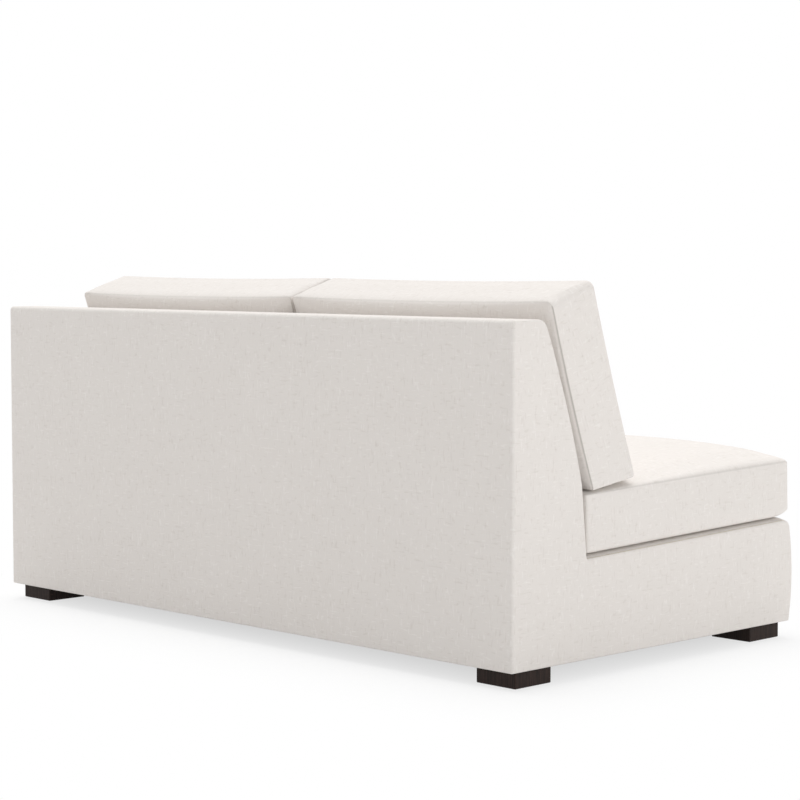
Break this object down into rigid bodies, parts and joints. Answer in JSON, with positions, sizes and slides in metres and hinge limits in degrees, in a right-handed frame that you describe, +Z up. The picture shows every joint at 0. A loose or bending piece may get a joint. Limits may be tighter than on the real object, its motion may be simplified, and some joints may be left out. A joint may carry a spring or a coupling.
{
  "type": "one-arm loveseat",
  "caption": "Upholstered one-arm loveseat with a leaning back, loose box cushions on a sloped deck, a track arm and dark square block feet.",
  "frame": {"origin": "on the floor under the middle of the width and depth", "axes": "+X across the width towards the arm, +Y towards the back, +Z up, front faces -Y"},
  "size_m": [1.72, 0.93, 0.8109],
  "materials": {
    "upholstery": "matte slubbed weave",
    "dust_cloth": "matte non-woven",
    "foam": "open-cell foam and wadding",
    "webbing": "woven elastic",
    "foot_wood": "dark espresso satin",
    "timber": "sawn",
    "plywood": "sanded ply",
    "board": "hardboard",
    "steel": "zinc plated",
    "glide": "moulded nylon"
  },
  "bodies": {
    "body": {"arm_cover": "upholstery", "arm_end_cover": "upholstery", "arm_end_frame": "plywood", "arm_front_board": "timber", "arm_front_cover": "upholstery", "arm_front_pad": "foam", "arm_pad": "foam", "arm_panel": "plywood", "arm_top_pad": "foam", "arm_top_rail": "timber", "back_board": "board", "back_low_rail": "timber", "back_pad": "foam", "back_rib_1": "plywood", "back_rib_2": "plywood", "back_straps": "webbing", "back_top_rail": "timber", "corner_blocks": "timber", "cross_straps": "webbing", "deck_cover": "upholstery", "deck_pad": "foam", "dust_cloth": "dust_cloth", "foot_bolts": "steel", "foot_front_arm": "foot_wood", "foot_front_open": "foot_wood", "foot_rear_arm": "foot_wood", "foot_rear_open": "foot_wood", "front_border_cover": "upholstery", "front_pad": "foam", "front_rail": "timber", "glides": "glide", "inside_back_cover": "upholstery", "open_end_cover": "upholstery", "open_end_frame": "plywood", "outside_back_cover": "upholstery", "rear_bottom_rail": "timber", "rear_seat_rail": "timber", "seat_side_rail": "timber", "seat_straps": "webbing", "seat_stretcher": "timber", "tee_nuts": "steel", "top_pad": "foam"},
    "seat_cushion_open": {"seat_cover_open": "upholstery", "seat_core_open": "foam"},
    "back_cushion_open": {"back_cushion_cover_open": "upholstery", "back_cushion_core_open": "foam"},
    "seat_cushion_arm": {"seat_cover_arm": "upholstery", "seat_core_arm": "foam"},
    "back_cushion_arm": {"back_cushion_cover_arm": "upholstery", "back_cushion_core_arm": "foam"}
  },
  "joints": [
    {"name": "seat_cushion_open_slide", "type": "slide", "parent": "body", "child": "seat_cushion_open", "axis": [0, -0.9994, 0.0336], "range_m": [0, 0.7]},
    {"name": "back_cushion_open_lift", "type": "slide", "parent": "body", "child": "back_cushion_open", "axis": [0, 0.3204, 0.9473], "range_m": [0, 0.45]},
    {"name": "seat_cushion_arm_slide", "type": "slide", "parent": "body", "child": "seat_cushion_arm", "axis": [0, -0.9994, 0.0336], "range_m": [0, 0.7]},
    {"name": "back_cushion_arm_lift", "type": "slide", "parent": "body", "child": "back_cushion_arm", "axis": [0, 0.3204, 0.9473], "range_m": [0, 0.45]}
  ]
}
